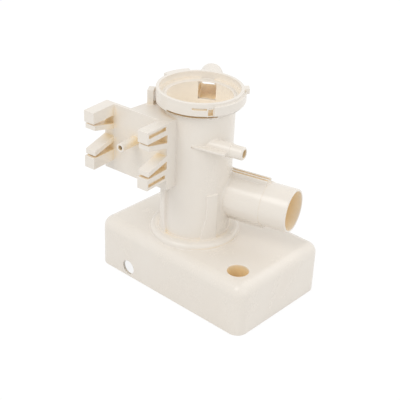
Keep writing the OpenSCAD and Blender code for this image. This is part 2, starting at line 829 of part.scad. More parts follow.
module core_outline() {
    difference() {
        union() {
            translate([core_left, -leg_out]) square([yoke_w, 2 * leg_out]);
            for (side = [-1, 1]) {
                translate([core_left, side > 0 ? leg_in : -leg_out]) square([core_right - core_left, leg_w]);
            }
        }
        circle(r = core_bore);
        for (side = [-1, 1]) {
            translate([core_screw_x, side * core_screw_side]) circle(r = screw_r + core_screw_gap);
        }
    }
}

module stator_core() {
    color(steel) translate([0, 0, core_z]) linear_extrude(height = core_h) core_outline();
}

// A square tube round one leg of the core, grown on all sides
module leg_sleeve(left, right, grow) {
    translate([left, leg_in - grow, core_z - grow]) cube([right - left, leg_w + 2 * grow, core_h + 2 * grow]);
}

module bobbin() {
    tube = slip_gap + bobbin_wall;
    difference() {
        union() {
            leg_sleeve(spool_left, spool_right, tube);
            leg_sleeve(spool_left, spool_left + spool_rim, tube + rim_build);
            leg_sleeve(spool_right - spool_rim, spool_right, tube + rim_build);
        }
        leg_sleeve(spool_left - eps, spool_right + eps, slip_gap);
    }
}

module coil() {
    inside = slip_gap + bobbin_wall;
    left = spool_left + spool_rim;
    right = spool_right - spool_rim;
    difference() {
        leg_sleeve(left, right, inside + coil_build);
        leg_sleeve(left - eps, right + eps, inside);
    }
}

module front_bobbin() {
    color("whitesmoke") mirror([0, 1, 0]) bobbin();
}

module rear_bobbin() {
    color("whitesmoke") bobbin();
}

module front_coil() {
    color("chocolate") mirror([0, 1, 0]) coil();
}

module rear_coil() {
    color("chocolate") coil();
}

module at_tails() {
    for (side = [-1, 1]) {
        translate([(spool_left + spool_right + side * tail_gap) / 2, 0, 0]) children();
    }
}

module terminal_block() {
    color("whitesmoke") difference() {
        translate([spool_left, -block_w / 2, block_z])
            cube([spool_right - spool_left, block_w, block_h]);
        at_tails() translate([-tail_t / 2, -blade_w / 2, block_z - eps]) cube([tail_t, blade_w, block_h / 2 + eps]);
    }
}

module terminal_blades() {
    color("gold") at_tails() translate([-tail_t / 2, -blade_w / 2, block_z - tail_len])
        cube([tail_t, blade_w, tail_len + block_h / 2]);
}

module core_screws() {
    color("silver") at_core_screws() screw_up(0, 0, core_z, core_screw_end);
}

module can_screws() {
    color("silver") at_can_screws() screw_up(0, 0, flange_z, screw_end);
}

// Rotor

module rotor_shaft() {
    color("silver") translate([0, 0, shaft_low]) cylinder(r = shaft_r, h = shaft_top - shaft_low);
}

module rotor_sleeve() {
    color("gainsboro") ring(shaft_r, sleeve_r, magnet_z, magnet_top);
}

module rotor_magnet() {
    color(dark) ring(sleeve_r, magnet_d / 2, magnet_z, magnet_top);
}

module thrust_washers() {
    color("silver") for (z = [low_top + axial_gap, magnet_top + axial_gap]) {
        ring(shaft_r, washer_r, z, z + washer_t);
    }
}

module drive_dog() {
    z = hub_z + dog_gap;
    color("gainsboro") difference() {
        union() {
            translate([0, 0, z]) cylinder(r = shaft_r + dog_wall, h = dog_h);
            intersection() {
                translate([0, -dog_t / 2, z]) cube([dog_r, dog_t, dog_h]);
                translate([0, 0, z]) cylinder(r = dog_r, h = dog_h);
            }
        }
        translate([0, 0, z - eps]) cylinder(r = shaft_r, h = dog_h + 2 * eps);
    }
}

module retaining_clip() {
    color("silver") ring(shaft_r, clip_r, clip_z, clip_z + clip_t);
}

module impeller() {
    impeller_r = impeller_d / 2;
    roof_top = cave_top + hub_roof;
    color("white") {
        difference() {
            union() {
                translate([0, 0, hub_z]) cylinder(r = impeller_r, h = back_t);
                translate([0, 0, hub_z]) cylinder(r = hub_r, h = roof_top - hub_z);
                translate([0, 0, hub_z]) cylinder(r = neck_out, h = blade_top - hub_z);
                for (i = [1:blade_count]) {
                    rotate([0, 0, i * 360 / blade_count]) translate([neck_out / 2, -blade_t / 2, hub_z])
                        cube([impeller_r - blade_inset - neck_out / 2, blade_t, blade_top - hub_z]);
                }
            }
            difference() {
                translate([0, 0, hub_z - eps]) cylinder(r = cave_r, h = cave_top - hub_z + eps);
                translate([-cave_r - eps, -dog_t / 2, hub_z - 2 * eps])
                    cube([cave_r + eps - key_in, dog_t, cave_top - hub_z + 3 * eps]);
            }
            translate([0, 0, hub_z - eps]) cylinder(r = shaft_r + run_gap, h = blade_top - hub_z + 2 * eps);
        }
    }
}

motor_cover();
pump_chamber();
bayonet_collar();
outlet_spigot();
inlet_spigot();
pressure_nipple();
clip_bracket();
rotor_can();
can_seal();
bearing_cap();
lower_bearing();
upper_bearing();
shaft_seal();
stator_core();
front_bobbin();
rear_bobbin();
front_coil();
rear_coil();
terminal_block();
terminal_blades();
core_screws();
can_screws();
rotor_shaft();
rotor_sleeve();
rotor_magnet();
thrust_washers();
drive_dog();
retaining_clip();
impeller();
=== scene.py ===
"""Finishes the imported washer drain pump: soft edges, materials, small details and a studio."""

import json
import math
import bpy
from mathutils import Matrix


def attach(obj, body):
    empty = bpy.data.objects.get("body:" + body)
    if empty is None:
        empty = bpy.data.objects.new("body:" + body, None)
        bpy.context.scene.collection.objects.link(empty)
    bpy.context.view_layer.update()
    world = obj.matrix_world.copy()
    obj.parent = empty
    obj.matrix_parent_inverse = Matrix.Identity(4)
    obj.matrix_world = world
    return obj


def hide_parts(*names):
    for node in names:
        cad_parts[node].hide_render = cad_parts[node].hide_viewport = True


bl_info = {
    "name": "Washer drain pump",
    "version": (1, 0, 0),
    "blender": (4, 5, 0),
    "location": "View3D > Sidebar > Drain pump",
    "description": "Soft moulded edges, fillets, materials and a studio for the drain pump",
    "category": "Object",
}

import bmesh
import bpy
from bpy.props import FloatProperty, FloatVectorProperty, IntProperty, PointerProperty
from bpy.types import Operator, Panel, PropertyGroup
from mathutils import Matrix, Vector
from mathutils.bvhtree import BVHTree
from mathutils.kdtree import KDTree

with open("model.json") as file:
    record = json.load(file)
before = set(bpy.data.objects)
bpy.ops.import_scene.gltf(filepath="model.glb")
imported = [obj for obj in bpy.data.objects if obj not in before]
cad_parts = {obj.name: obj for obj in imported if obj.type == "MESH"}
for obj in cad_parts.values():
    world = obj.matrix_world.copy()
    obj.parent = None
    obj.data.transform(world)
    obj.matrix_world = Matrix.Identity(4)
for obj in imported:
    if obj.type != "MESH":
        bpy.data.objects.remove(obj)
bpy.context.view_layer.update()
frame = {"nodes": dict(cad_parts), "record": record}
MM = 0.001

# Clean-up of the CAD meshes: points to merge and slivers to dissolve, in metres
MERGE = 2e-6
SLIVER = 5e-6
# Faces that meet at less than the first angle are one flat, edges over the second are sharp
FLAT_ANGLE = 0.3
SHARP_ANGLE = 32.0
# A point as near as this lies on a surface, in metres
ON_SURFACE = 0.00012

# Edges are rounded at full width, then what had no room at a smaller share of it
ROUNDING_PASSES = (1.0, 0.45)
# Tries with fewer edges each, and how near to a fold an edge is dropped, in widths
ROUNDING_TRIES = 8
DROP_REACH = 1.3
# A triangle is folded if it stands this far off the old surface, in widths, or faces away from it
FOLD_DISTANCE = 0.6
FOLD_FACING = -0.2
# Corners of a folded triangle that still lie this near, in widths, show where the fold is
FOLD_CORNER = 0.75
# Triangles smaller than this are not judged, in square metres
FOLD_AREA = 4e-10
# A fold this near to one in the old mesh is not new, in metres
OLD_FOLD = 0.0003
# Room for a rounding: where it is felt for and how far off the face may be, in widths, and how level
ROOM_PROBE = 1.15
ROOM_DISTANCE = 0.15
ROOM_LEVEL = 0.8

# Fillets where these nodes meet the tube, as shares of the fillet radius
FILLETS = {"outlet_spigot": 1.0, "inlet_spigot": 0.8, "pressure_nipple": 0.6, "clip_bracket": 0.2}
FILLET_STEPS = 4
FILLET_MERGE = 1e-6
# Edges of a joint bend more than the first angle, corners of a fillet over the second stay sharp
JOINT_ANGLE = 20.0
FILLET_SHARP = 60.0
# Corners flatter than this, as a sine, take no fillet
LEAST_CORNER = 0.3
# The other moulding has to go on under a fillet: where that is felt for, in radii, and how near
FILLET_PROBE = 0.6
FILLET_REACH = 0.0002
# How far a fillet's two edges and its root are sunk into the mouldings, in metres
SUNK_OWN = 0.00003
SUNK_OTHER = 0.00009
SUNK_ROOT = 0.0003
# Sides of the largest hole that is closed at a fillet's end
END_SIDES = 8

# Weld bead round the tube's foot, and the steps of a ring
FOOT_BEAD = {"radius": 28.5 * MM, "height": 42.05 * MM, "half": 0.3 * MM}
BEAD_SIDES = 14
RING_STEPS = 160
SEAM_MERGE = 1e-7

# Screw heads: least corners of a head's flat, how squarely it faces down, and how level all lie
HEAD_CORNERS = 12
HEAD_FACING = -0.95
HEAD_LEVEL = 0.05 * MM
# The recess has six lobes, and its walls lean in by this much
RECESS_LOBES = 6
RECESS_DRAFT = 0.04 * MM

# Shelter runs from 0, closed in, to 1, open: the painted glow, which stands in for light through the
# walls, fades between these values
GLOW_BORE = (0.42, 0.62)
GLOW_WIDE = (0.46, 0.66)
GLOW_NARROW = (0.25, 0.7)
# The painted warm glow in hollows and the painted shade in slots fade between these
GLOW_TINT_BORE = (0.35, 0.58)
SHADE_TINT_SLOT = (0.08, 0.42)
SHELTER_SAMPLES = 12
# Share of the slow patches in the tone drift, and of the fine grain in the relief
PATCH_SHARE = 0.72
GRAIN_SHARE = 0.35
# Sockets of a Mix node that mixes colours
MIX_SHARE, MIX_FIRST, MIX_SECOND, MIX_RESULT = 0, 6, 7, 2

# Lamps: name, place and size in metres, and the setting with the power
LAMPS = (
    ("key_light", (-0.10, -0.80, 1.05), 0.6, "key_power"),
    ("fill_light", (0.95, 0.05, 0.45), 0.9, "fill_power"),
    ("back_light", (0.25, 0.85, 0.65), 0.9, "back_power"),
)
LAMP_AIM = (0, 0, 0.07)
# Floor: its size and how far it lies under the part, in metres
FLOOR_SIZE = 4.0
FLOOR_DROP = 0.0002
# Floor: glow and grey as it is seen, and the grey that throws light back
FLOOR_GLOW = 0.9
FLOOR_GREY = (0.12, 0.12, 0.12, 1)
FLOOR_BOUNCE = (0.82, 0.82, 0.82, 1)
# Camera: sensor in mm, and the nearest and farthest that it sees, in metres
SENSOR = 36.0
SEEN_FROM = 0.01
SEEN_TO = 20.0

# Nodes of the cream moulding, and how softly each one's edges are rounded, in mm
MOULDED = {
    "motor_cover": 0.7,
    "pump_chamber": 0.5,
    "bayonet_collar": 0.45,
    "outlet_spigot": 0.45,
    "inlet_spigot": 0.45,
    "pressure_nipple": 0.35,
    "clip_bracket": 0.35,
}

# Edge rounding in mm of the inner nodes, by the body that carries them
INNER = {
    "housing": {
        "rotor_can": 0.4,
        "can_seal": 0.0,
        "bearing_cap": 0.3,
        "lower_bearing": 0.2,
        "upper_bearing": 0.2,
        "shaft_seal": 0.2,
        "stator_core": 0.15,
        "front_bobbin": 0.3,
        "rear_bobbin": 0.3,
        "front_coil": 0.9,
        "rear_coil": 0.9,
        "terminal_block": 0.3,
        "terminal_blades": 0.12,
        "core_screws": 0.25,
        "can_screws": 0.25,
    },
    "rotor": {
        "rotor_shaft": 0.3,
        "rotor_sleeve": 0.2,
        "rotor_magnet": 0.4,
        "thrust_washers": 0.12,
        "drive_dog": 0.3,
        "retaining_clip": 0.15,
    },
    "impeller": {"impeller": 0.3},
}


class MouldingSettings(PropertyGroup):
    """Sizes and colours of the cream moulding"""

    colour: FloatVectorProperty(
        name="Cream", description="Main colour of the moulding",
        subtype='COLOR', min=0, max=1, default=(0.822, 0.772, 0.705))
    warm: FloatVectorProperty(
        name="Warm cream", description="Colour that the cream drifts to in patches",
        subtype='COLOR', min=0, max=1, default=(0.805, 0.745, 0.665))
    # Painted glow: the base colour of deep hollows turns warmer and lighter, in place of light through
    # the walls
    hollow: FloatVectorProperty(
        name="Hollow tone", description="Warm colour of the cream in deep hollows",
        subtype='COLOR', min=0, max=1, default=(0.88, 0.69, 0.41))
    # Painted shade: the base colour of narrow slots is darkened to brown
    slot: FloatVectorProperty(
        name="Slot tone", description="Brown tone of the cream in narrow slots",
        subtype='COLOR', min=0, max=1, default=(0.76, 0.61, 0.42))
    # Painted glow: an emission colour and strength put on hollows in place of the light that comes
    # through the walls
    through: FloatVectorProperty(
        name="Light through walls",
        description="Colour of the light that comes through the walls of a hollow",
        subtype='COLOR', min=0, max=1, default=(0.92, 0.82, 0.65))
    through_deep: FloatVectorProperty(
        name="Light through, deep", description="Colour of the light that comes through in narrow bores",
        subtype='COLOR', min=0, max=1, default=(0.24, 0.19, 0.11))
    through_strength: FloatProperty(
        name="Light through strength", description="How much light comes through the walls of a hollow",
        subtype='FACTOR', default=0.2, min=0, max=1)
    hollow_reach: FloatProperty(
        name="Hollow reach", description="How near a wall has to be to count as sheltering",
        unit='LENGTH', default=60 * MM, min=1 * MM, max=200 * MM)
    # Bores narrower than this get the painted warm glow tone
    bore_reach: FloatProperty(
        name="Bore reach", description="Bores narrower than this take the hollow tone", unit='LENGTH',
        default=38 * MM, min=1 * MM, max=100 * MM)
    # Narrow hollows take the painted brown shade and lose the painted glow
    slot_reach: FloatProperty(
        name="Slot reach", description="Hollows narrower than this stay dark", unit='LENGTH',
        default=8 * MM, min=1 * MM, max=50 * MM)
    fillet: FloatProperty(
        name="Fillet", description="Radius of the fillets where two mouldings meet", unit='LENGTH',
        default=1.1 * MM, min=0.2 * MM, max=3 * MM)
    rounding: FloatProperty(
        name="Rounding", description="Factor on the edge rounding of each moulding", subtype='FACTOR',
        default=1.0, min=0.2, max=2.0)
    segments: IntProperty(
        name="Segments", description="Steps across each rounded edge", subtype='UNSIGNED',
        default=3, min=1, max=6)


class ScrewSettings(PropertyGroup):
    """The recess in the screw heads"""

    depth: FloatProperty(
        name="Depth", description="Depth of the recess in each screw head", unit='LENGTH',
        default=1.0 * MM, min=0.1 * MM, max=3 * MM)
    share: FloatProperty(
        name="Width", description="Width of the recess, as a share of the head's flat",
        subtype='FACTOR', default=0.55, min=0.2, max=0.8)
    lobes: FloatProperty(
        name="Lobes", description="How far the six lobes of the recess stand out", subtype='FACTOR',
        default=0.14, min=0, max=0.3)


class StudioSettings(PropertyGroup):
    """Camera and light"""

    lens: FloatProperty(
        name="Lens", description="Focal length of the camera, in mm", unit='CAMERA',
        default=86.89, min=20, max=300)
    azimuth: FloatProperty(
        name="Azimuth", description="Direction the camera looks from", subtype='ANGLE',
        default=math.radians(41.13))
    elevation: FloatProperty(
        name="Elevation", description="Height of the camera over the horizon", subtype='ANGLE',
        default=math.radians(29.35))
    roll: FloatProperty(
        name="Roll", description="Turn of the camera about its view", subtype='ANGLE',
        default=math.radians(2.59))
    place: FloatVectorProperty(
        name="Place", description="Where the camera stands", subtype='TRANSLATION', unit='LENGTH',
        default=(0.3876, -0.4392, 0.3895))
    ambient: FloatProperty(
        name="Ambient", description="Strength of the even light from all sides", subtype='FACTOR',
        default=0.79, min=0, max=3)
    key_power: FloatProperty(
        name="Key light", description="Power of the soft light in front", unit='POWER',
        default=3.9, min=0, max=50)
    fill_power: FloatProperty(
        name="Fill light", description="Power of the soft light at the right", unit='POWER',
        default=1.15, min=0, max=50)
    back_power: FloatProperty(
        name="Back light", description="Power of the soft light from behind", unit='POWER',
        default=1.9, min=0, max=50)


def moulding():
    """The settings of the cream moulding."""
    return bpy.context.scene.pump_moulding


# Node groups

def new_group(name, inputs, outputs):
    """An empty shader group with its sockets, and the nodes at its two ends."""
    group = bpy.data.node_groups.new(name, 'ShaderNodeTree')
    for label, kind, value in inputs:
        socket = group.interface.new_socket(label, in_out='INPUT', socket_type=kind)
        socket.default_value = value
    for label, kind in outputs:
        group.interface.new_socket(label, in_out='OUTPUT', socket_type=kind)
    return group, group.nodes.new('NodeGroupInput'), group.nodes.new('NodeGroupOutput')


def noise(tree, vector, scale, detail=3.0, roughness=0.5):
    """A noise texture on the given coordinates."""
    node = tree.nodes.new('ShaderNodeTexNoise')
    node.inputs['Detail'].default_value = detail
    node.inputs['Roughness'].default_value = roughness
    tree.links.new(vector, node.inputs['Vector'])
    if isinstance(scale, (int, float)):
        node.inputs['Scale'].default_value = scale
    else:
        tree.links.new(scale, node.inputs['Scale'])
    return node.outputs['Fac']


def spread(tree, value, low, high, to_low=0.0, to_high=1.0):
    """Maps a value from one range to another, held at both ends."""
    node = tree.nodes.new('ShaderNodeMapRange')
    node.inputs['From Min'].default_value = low
    node.inputs['From Max'].default_value = high
    node.inputs['To Min'].default_value = to_low
    node.inputs['To Max'].default_value = to_high
    tree.links.new(value, node.inputs['Value'])
    return node.outputs['Result']


def blend_colours(tree, share, first, second):
    """A mix of two colours, each a socket or a plain colour."""
    node = tree.nodes.new('ShaderNodeMix')
    node.data_type = 'RGBA'
    tree.links.new(share, node.inputs[MIX_SHARE])
    for value, key in ((first, MIX_FIRST), (second, MIX_SECOND)):
        if hasattr(value, "is_output"):
            tree.links.new(value, node.inputs[key])
        else:
            node.inputs[key].default_value = (*value, 1.0)
    return node.outputs[MIX_RESULT]


def arithmetic(tree, operation, first, second):
    """A Math node on two sockets or numbers."""
    node = tree.nodes.new('ShaderNodeMath')
    node.operation = operation
    for value, key in ((first, 0), (second, 1)):
        if hasattr(value, "is_output"):
            tree.links.new(value, node.inputs[key])
        else:
            node.inputs[key].default_value = value
    return node.outputs[0]


def tone_drift_group():
    """Slow drift between two tones, with fine speckle."""
    found = bpy.data.node_groups.get("Tone drift")
    if found:
        return found
    group, start, end = new_group(
        "Tone drift",
        [("Vector", 'NodeSocketVector', (0, 0, 0)), ("Tone", 'NodeSocketColor', (0.8, 0.8, 0.8, 1)),
         ("Other tone", 'NodeSocketColor', (0.7, 0.7, 0.7, 1)), ("Patch scale", 'NodeSocketFloat', 20.0),
         ("Speckle scale", 'NodeSocketFloat', 900.0)],
        [("Color", 'NodeSocketColor'), ("Mottle", 'NodeSocketFloat')])
    place = start.outputs['Vector']
    clouds = noise(group, place, start.outputs['Patch scale'], detail=4, roughness=0.55)
    patches = spread(group, clouds, 0.35, 0.75)
    dots = noise(group, place, start.outputs['Speckle scale'], detail=2, roughness=0.6)
    speckle = spread(group, dots, 0.3, 0.8)
    mottle = arithmetic(group, 'ADD', arithmetic(group, 'MULTIPLY', patches, PATCH_SHARE),
                        arithmetic(group, 'MULTIPLY', speckle, 1 - PATCH_SHARE))
    colour = blend_colours(group, mottle, start.outputs['Tone'], start.outputs['Other tone'])
    group.links.new(colour, end.inputs['Color'])
    group.links.new(mottle, end.inputs['Mottle'])
    return group


def surface_grain_group():
    """Fine surface grain with a few slow waves, as a height."""
    found = bpy.data.node_groups.get("Surface grain")
    if found:
        return found
    group, start, end = new_group(
        "Surface grain",
        [("Vector", 'NodeSocketVector', (0, 0, 0)), ("Grain scale", 'NodeSocketFloat', 1400.0),
         ("Wave scale", 'NodeSocketFloat', 90.0)],
        [("Height", 'NodeSocketFloat')])
    place = start.outputs['Vector']
    fine = noise(group, place, start.outputs['Grain scale'], detail=3, roughness=0.6)
    slow = noise(group, place, start.outputs['Wave scale'], detail=1, roughness=0.4)
    height = arithmetic(group, 'ADD', arithmetic(group, 'MULTIPLY', fine, GRAIN_SHARE), slow)
    group.links.new(height, end.inputs['Height'])
    return group


# Materials

def place_group(tree, group, vector, **values):
    """A group node fed by the coordinates, with its own values."""
    node = tree.nodes.new('ShaderNodeGroup')
    node.node_tree = group
    tree.links.new(vector, node.inputs['Vector'])
    for label, value in values.items():
        node.inputs[label.replace("_", " ")].default_value = value
    return node


def plain_finish(name, tone, other, rough=(0.40, 0.52), metallic=0.0, patch=20.0, speckle=900.0,
                 grain=1400.0, wave=90.0, bump=0.05, depth=0.00005, extra=None):
    """A principled material with tone drift, roughness drift and grain on Object coordinates."""
    material = bpy.data.materials.get(name)
    if material:
        return material
    material = bpy.data.materials.new(name)
    material.use_nodes = True
    tree = material.node_tree
    shader = tree.nodes['Principled BSDF']
    place = tree.nodes.new('ShaderNodeTexCoord').outputs['Object']
    drift = place_group(tree, tone_drift_group(), place, Tone=(*tone, 1), Other_tone=(*other, 1),
                        Patch_scale=patch, Speckle_scale=speckle)
    relief = place_group(tree, surface_grain_group(), place, Grain_scale=grain, Wave_scale=wave)
    colour, height = drift.outputs['Color'], relief.outputs['Height']
    if extra:
        colour, height = extra(tree, place, colour, height)
    tree.links.new(colour, shader.inputs['Base Color'])
    tree.links.new(spread(tree, drift.outputs['Mottle'], 0.0, 1.0, *rough), shader.inputs['Roughness'])
    shader.inputs['Metallic'].default_value = metallic
    raised = tree.nodes.new('ShaderNodeBump')
    raised.inputs['Strength'].default_value = bump
    raised.inputs['Distance'].default_value = depth
    tree.links.new(height, raised.inputs['Height'])
    tree.links.new(raised.outputs['Normal'], shader.inputs['Normal'])
    return material


def cream_plastic():
    """Cream polypropylene with a satin finish; where light has to come through the walls it gets a
    painted warm glow, and narrow slots a painted brown shade.
    """
    cream = moulding()

    def shelter(tree, reach, own):
        """How open the surface is, judged by its own piece alone or by all of them."""
        node = tree.nodes.new('ShaderNodeAmbientOcclusion')
        node.samples = SHELTER_SAMPLES
        node.only_local = own
        node.inputs['Distance'].default_value = reach
        return node.outputs['AO']

    # Painted light in hollows: a warm glow and a warmer base colour, and painted brown shade in narrow
    # slots
    def painted_hollow_light(tree, place, colour, height):
        wide = shelter(tree, cream.hollow_reach, True)
        bore = shelter(tree, cream.bore_reach, True)
        narrow = shelter(tree, cream.slot_reach, False)
        shader = tree.nodes['Principled BSDF']
        # Painted glow: hollows give off an emission colour in place of the light that comes through the
        # walls
        glow = blend_colours(tree, spread(tree, bore, *GLOW_BORE), cream.through_deep, cream.through)
        lit = arithmetic(tree, 'MULTIPLY', spread(tree, wide, *GLOW_WIDE, 1.0, 0.0),
                         spread(tree, narrow, *GLOW_NARROW))
        tree.links.new(blend_colours(tree, lit, (0, 0, 0), glow), shader.inputs['Emission Color'])
        shader.inputs['Emission Strength'].default_value = cream.through_strength
        # Painted glow: a warmer, lighter base colour in bores
        glow_tinted = blend_colours(tree, spread(tree, bore, *GLOW_TINT_BORE, 1.0, 0.0), colour, cream.hollow)
        # Painted shade: narrow slots darkened to a brown base colour
        shade_tinted = blend_colours(tree, spread(tree, narrow, *SHADE_TINT_SLOT, 1.0, 0.0), glow_tinted, cream.slot)
        return shade_tinted, height

    return plain_finish("cream_plastic_finish", cream.colour, cream.warm, rough=(0.22, 0.32),
                        patch=26.0, speckle=1300.0, grain=1800.0, wave=140.0, bump=0.025,
                        depth=0.0001, extra=painted_hollow_light)


def grey_plastic():
    """Dark grey glass-filled polyamide of the motor's own parts."""
    return plain_finish("grey_plastic_finish", (0.085, 0.088, 0.092), (0.135, 0.138, 0.140),
                        rough=(0.42, 0.62), patch=60.0, speckle=2600.0, grain=2400.0, bump=0.2,
                        depth=0.0001)


def white_plastic():
    """White polyamide of the impeller and the bobbins."""
    return plain_finish("white_plastic_finish", (0.74, 0.74, 0.71), (0.66, 0.655, 0.615),
                        rough=(0.36, 0.5), patch=40.0, speckle=1500.0, bump=0.12, depth=0.0001)


def seal_rubber():
    """Black nitrile rubber."""
    return plain_finish("seal_rubber_finish", (0.018, 0.018, 0.019), (0.040, 0.039, 0.038),
                        rough=(0.55, 0.75), patch=90.0, speckle=2200.0, bump=0.25, depth=0.0001)


def bearing_bronze():
    """Sintered bronze with fine dark pores."""
    def pores(tree, place, colour, height):
        pore_scale, pore_colour = 5200.0, (0.12, 0.07, 0.03)
        mask = spread(tree, noise(tree, place, pore_scale, detail=1, roughness=0.4), 0.30, 0.42)
        return blend_colours(tree, mask, pore_colour, colour), arithmetic(tree, 'ADD', height, mask)
    return plain_finish("bearing_bronze_finish", (0.56, 0.36, 0.16), (0.42, 0.25, 0.11),
                        rough=(0.34, 0.5), metallic=1.0, patch=120.0, speckle=2600.0, bump=0.3,
                        depth=0.00008, extra=pores)


def core_steel():
    """Stacked sheet steel: each sheet shows as a thin line along Z, with faint rust."""
    def sheets(tree, place, colour, height):
        split = tree.nodes.new('ShaderNodeSeparateXYZ')
        tree.links.new(place, split.inputs[0])
        half_sheet, line_width, rust_scale = 0.00025, 0.00009, 160.0
        rust_colour, line_colour = (0.16, 0.085, 0.045), (0.045, 0.045, 0.047)
        ramp = arithmetic(tree, 'PINGPONG', split.outputs['Z'], half_sheet)
        gap = spread(tree, ramp, 0.0, line_width)
        rust = spread(tree, noise(tree, place, rust_scale, detail=5, roughness=0.65), 0.56, 0.78)
        tinted = blend_colours(tree, rust, colour, rust_colour)
        return blend_colours(tree, gap, line_colour, tinted), arithmetic(tree, 'ADD', height, gap)
    return plain_finish("core_steel_finish", (0.36, 0.365, 0.375), (0.25, 0.252, 0.258),
                        rough=(0.38, 0.56), metallic=0.9, patch=70.0, speckle=1900.0, bump=0.5,
                        depth=0.00012, extra=sheets)


def coil_tape():
    """Yellow polyester tape wound in laps round the coil."""
    def laps(tree, place, colour, height):
        split = tree.nodes.new('ShaderNodeSeparateXYZ')
        tree.links.new(place, split.inputs[0])
        slant, laps_per_metre, edge_share, lap_height = 0.12, 125.0, 0.07, 1.5
        edge_colour = (0.30, 0.17, 0.03)
        rise = arithmetic(tree, 'MULTIPLY', split.outputs['Z'], slant)
        lean = arithmetic(tree, 'ADD', split.outputs['X'], rise)
        ramp = arithmetic(tree, 'FRACT', arithmetic(tree, 'MULTIPLY', lean, laps_per_metre), 0.0)
        edge = spread(tree, ramp, 0.0, edge_share)
        return (blend_colours(tree, edge, edge_colour, colour),
                arithmetic(tree, 'ADD', height, arithmetic(tree, 'MULTIPLY', ramp, lap_height)))
    return plain_finish("coil_tape_finish", (0.72, 0.47, 0.09), (0.60, 0.36, 0.06),
                        rough=(0.2, 0.34), patch=80.0, speckle=1200.0, bump=0.35, depth=0.0001,
                        extra=laps)


def terminal_brass():
    """Tinned brass blades with a little tarnish."""
    return plain_finish("terminal_brass_finish", (0.70, 0.56, 0.28), (0.52, 0.38, 0.17),
                        rough=(0.22, 0.4), metallic=1.0, patch=150.0, speckle=2400.0, bump=0.1,
                        depth=0.00005)


def screw_steel():
    """Zinc-plated steel."""
    return plain_finish("screw_steel_finish", (0.62, 0.63, 0.64), (0.48, 0.485, 0.48),
                        rough=(0.22, 0.4), metallic=1.0, patch=140.0, speckle=2400.0, bump=0.12,
                        depth=0.00005)


def ferrite():
    """Dark sintered ferrite with a fine ground grain."""
    return plain_finish("ferrite_finish", (0.030, 0.029, 0.030), (0.062, 0.060, 0.060),
                        rough=(0.36, 0.56), metallic=0.25, patch=110.0, speckle=3000.0, bump=0.25,
                        depth=0.0001)


FINISHES = {
    "cream_plastic": cream_plastic,
    "grey_plastic": grey_plastic,
    "white_plastic": white_plastic,
    "seal_rubber": seal_rubber,
    "bearing_bronze": bearing_bronze,
    "core_steel": core_steel,
    "coil_tape": coil_tape,
    "terminal_brass": terminal_brass,
    "screw_steel": screw_steel,
    "ferrite": ferrite,
}


# Shared modelling helpers

def cad_copy(name):
    """A merged copy of a CAD node's mesh, its flat areas joined to whole faces."""
    bm = bmesh.new()
    bm.from_mesh(frame["nodes"][name].data)
    bmesh.ops.remove_doubles(bm, verts=bm.verts, dist=MERGE)
    bmesh.ops.dissolve_degenerate(bm, dist=SLIVER, edges=bm.edges)
    bmesh.ops.dissolve_limit(bm, angle_limit=math.radians(FLAT_ANGLE), use_dissolve_boundaries=False,
                             verts=bm.verts, edges=bm.edges)
    return bm


def surface_of(name):
    """A search tree of a CAD node's surface."""
    bm = bmesh.new()
    bm.from_mesh(frame["nodes"][name].data)
    tree = BVHTree.FromBMesh(bm)
    bm.free()
    return tree


def lies_on(tree, point, reach=ON_SURFACE):
    """True if the point lies on that surface."""
    return tree.find_nearest(point, reach)[0] is not None


def sharp_edges(bm, angle=SHARP_ANGLE):
    """Edges between two faces that meet at more than the angle, in degrees."""
    limit = math.radians(angle)
    return [e for e in bm.edges if len(e.link_faces) == 2 and e.calc_face_angle(0.0) > limit]


def add_piece(name, bm, body, slot, nodes=(), sharp=SHARP_ANGLE):
    """Makes the mesh an object of its finish that rides on a body."""
    mesh = bpy.data.meshes.new(name)
    bm.to_mesh(mesh)
    bm.free()
    mesh.materials.append(FINISHES[slot]())
    for face in mesh.polygons:
        face.material_index = 0
    mesh.shade_smooth()
    mesh.set_sharp_from_angle(angle=math.radians(sharp))
    piece = bpy.data.objects.new(name, mesh)
    bpy.context.scene.collection.objects.link(piece)
    even = piece.modifiers.new("Even shading", 'WEIGHTED_NORMAL')
    even.keep_sharp = True
    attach(piece, body)
    if nodes:
        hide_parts(*nodes)


def folded_points(bm, skin, width):
    """Corners of triangles that stand off the old surface or are turned over."""
    check = bm.copy()
    bmesh.ops.triangulate(check, faces=check.faces)
    points = []
    for face in check.faces:
        if face.calc_area() < FOLD_AREA:
            continue
        _, normal, _, distance = skin.find_nearest(face.calc_center_median())
        if distance > FOLD_DISTANCE * width or face.normal.dot(normal) < FOLD_FACING:
            points.extend(vert.co.copy() for vert in face.verts
                          if skin.find_nearest(vert.co)[3] < FOLD_CORNER * width)
    check.free()
    return points


def search_tree(points):
    """A search tree of points."""
    tree = KDTree(len(points))
    for index, point in enumerate(points):
        tree.insert(point, index)
    tree.balance()
    return tree


